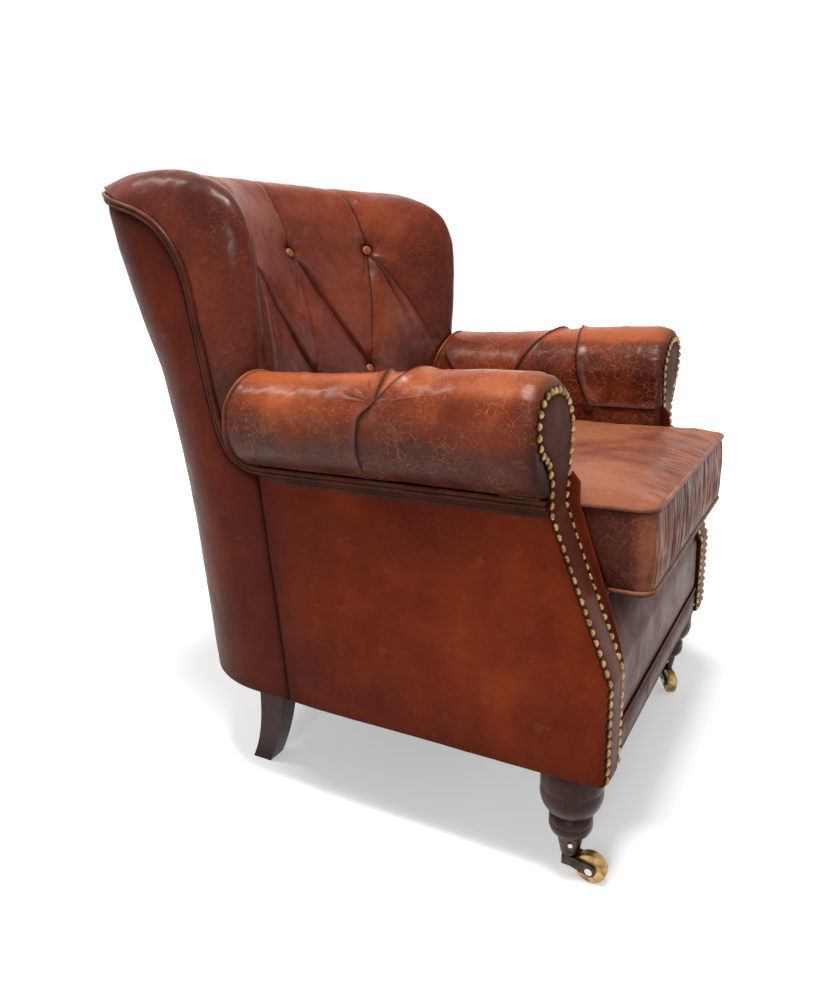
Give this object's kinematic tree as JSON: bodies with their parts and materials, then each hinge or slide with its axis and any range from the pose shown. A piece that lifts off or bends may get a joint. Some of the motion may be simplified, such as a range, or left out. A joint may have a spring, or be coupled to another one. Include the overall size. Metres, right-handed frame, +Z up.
{
  "type": "leather armchair",
  "caption": "Low leather armchair with a button-tufted tub back, scroll arms with nailed facings, a loose piped seat cushion, turned front legs on brass cup casters and sabre rear legs.",
  "frame": {"origin": "on the floor, at the centre of the chair's outline seen from above", "axes": "+Z up, the chair faces -Y, +X is the sitter's left"},
  "size_m": [0.6698, 0.742, 0.8504],
  "materials": {
    "leather_tufted": "aged waxed chestnut hide, soft gloss",
    "leather_arm": "aged waxed chestnut hide, soft gloss",
    "leather_panel": "mottled cognac hide, satin",
    "leather_cushion": "worn tan-brown hide, satin",
    "leather_piping": "dark piping with rubbed crests",
    "nail_brass": "antique brass with dark rims",
    "frame_timber": "sawn hardwood",
    "leg_timber": "dark mahogany stain, satin",
    "steel": "plain steel",
    "webbing": "woven elastic webbing",
    "lining": "black lining cloth",
    "caster_bronze": "dark bronze patina",
    "wheel_brass": "worn brass"
  },
  "bodies": {
    "chair": {"arm_buttons": "leather_tufted", "arm_facing_left": "leather_panel", "arm_facing_right": "leather_panel", "arm_pad_left": "leather_arm", "arm_pad_right": "leather_arm", "arm_rail_left": "frame_timber", "arm_rail_right": "frame_timber", "back_buttons": "leather_tufted", "back_post_left": "frame_timber", "back_post_right": "frame_timber", "back_stay_rail": "frame_timber", "back_straps": "webbing", "caster_cup_left": "caster_bronze", "caster_cup_right": "caster_bronze", "corner_blocks": "frame_timber", "crest_rail": "frame_timber", "cup_screws": "steel", "dust_cover": "lining", "edge_piping": "leather_piping", "facing_nails_left": "nail_brass", "facing_nails_right": "nail_brass", "front_border": "leather_panel", "front_leg_left": "leg_timber", "front_leg_right": "leg_timber", "front_post_left": "frame_timber", "front_post_right": "frame_timber", "inside_back": "leather_tufted", "leg_bolts": "steel", "lower_band": "leather_panel", "outside_arm_left": "leather_panel", "outside_arm_right": "leather_panel", "outside_back": "leather_panel", "rear_leg_left": "leg_timber", "rear_leg_right": "leg_timber", "seat_back_rail": "frame_timber", "seat_front_rail": "frame_timber", "seat_platform": "lining", "seat_side_rail_left": "frame_timber", "seat_side_rail_right": "frame_timber", "seat_springs": "steel", "spring_clips": "steel", "wing_frame_left": "frame_timber", "wing_frame_right": "frame_timber"},
    "seat_cushion": {"seat_cushion": "leather_cushion", "cushion_piping": "leather_piping"},
    "caster_left": {"caster_fork_left": "caster_bronze", "caster_pivot_left": "steel", "caster_axle_left": "steel"},
    "wheel_left": {"caster_wheel_left": "wheel_brass"},
    "caster_right": {"caster_fork_right": "caster_bronze", "caster_pivot_right": "steel", "caster_axle_right": "steel"},
    "wheel_right": {"caster_wheel_right": "wheel_brass"}
  },
  "joints": [
    {"name": "cushion_lift", "type": "slide", "parent": "chair", "child": "seat_cushion", "axis": [0, 0, 1], "range_m": [0, 0.35]},
    {"name": "caster_swivel_left", "type": "hinge", "parent": "chair", "child": "caster_left", "pos_m": [0.2585, -0.295, 0.03], "axis": [0, 0, 1], "continuous": true},
    {"name": "wheel_spin_left", "type": "hinge", "parent": "caster_left", "child": "wheel_left", "pos_m": [0.23401, -0.30857, 0.019], "axis": [0.4848, -0.8746, 0], "continuous": true},
    {"name": "caster_swivel_right", "type": "hinge", "parent": "chair", "child": "caster_right", "pos_m": [-0.2585, -0.295, 0.03], "axis": [0, 0, 1], "continuous": true},
    {"name": "wheel_spin_right", "type": "hinge", "parent": "caster_right", "child": "wheel_right", "pos_m": [-0.25997, -0.32296, 0.019], "axis": [0.9986, -0.0523, 0], "continuous": true}
  ]
}
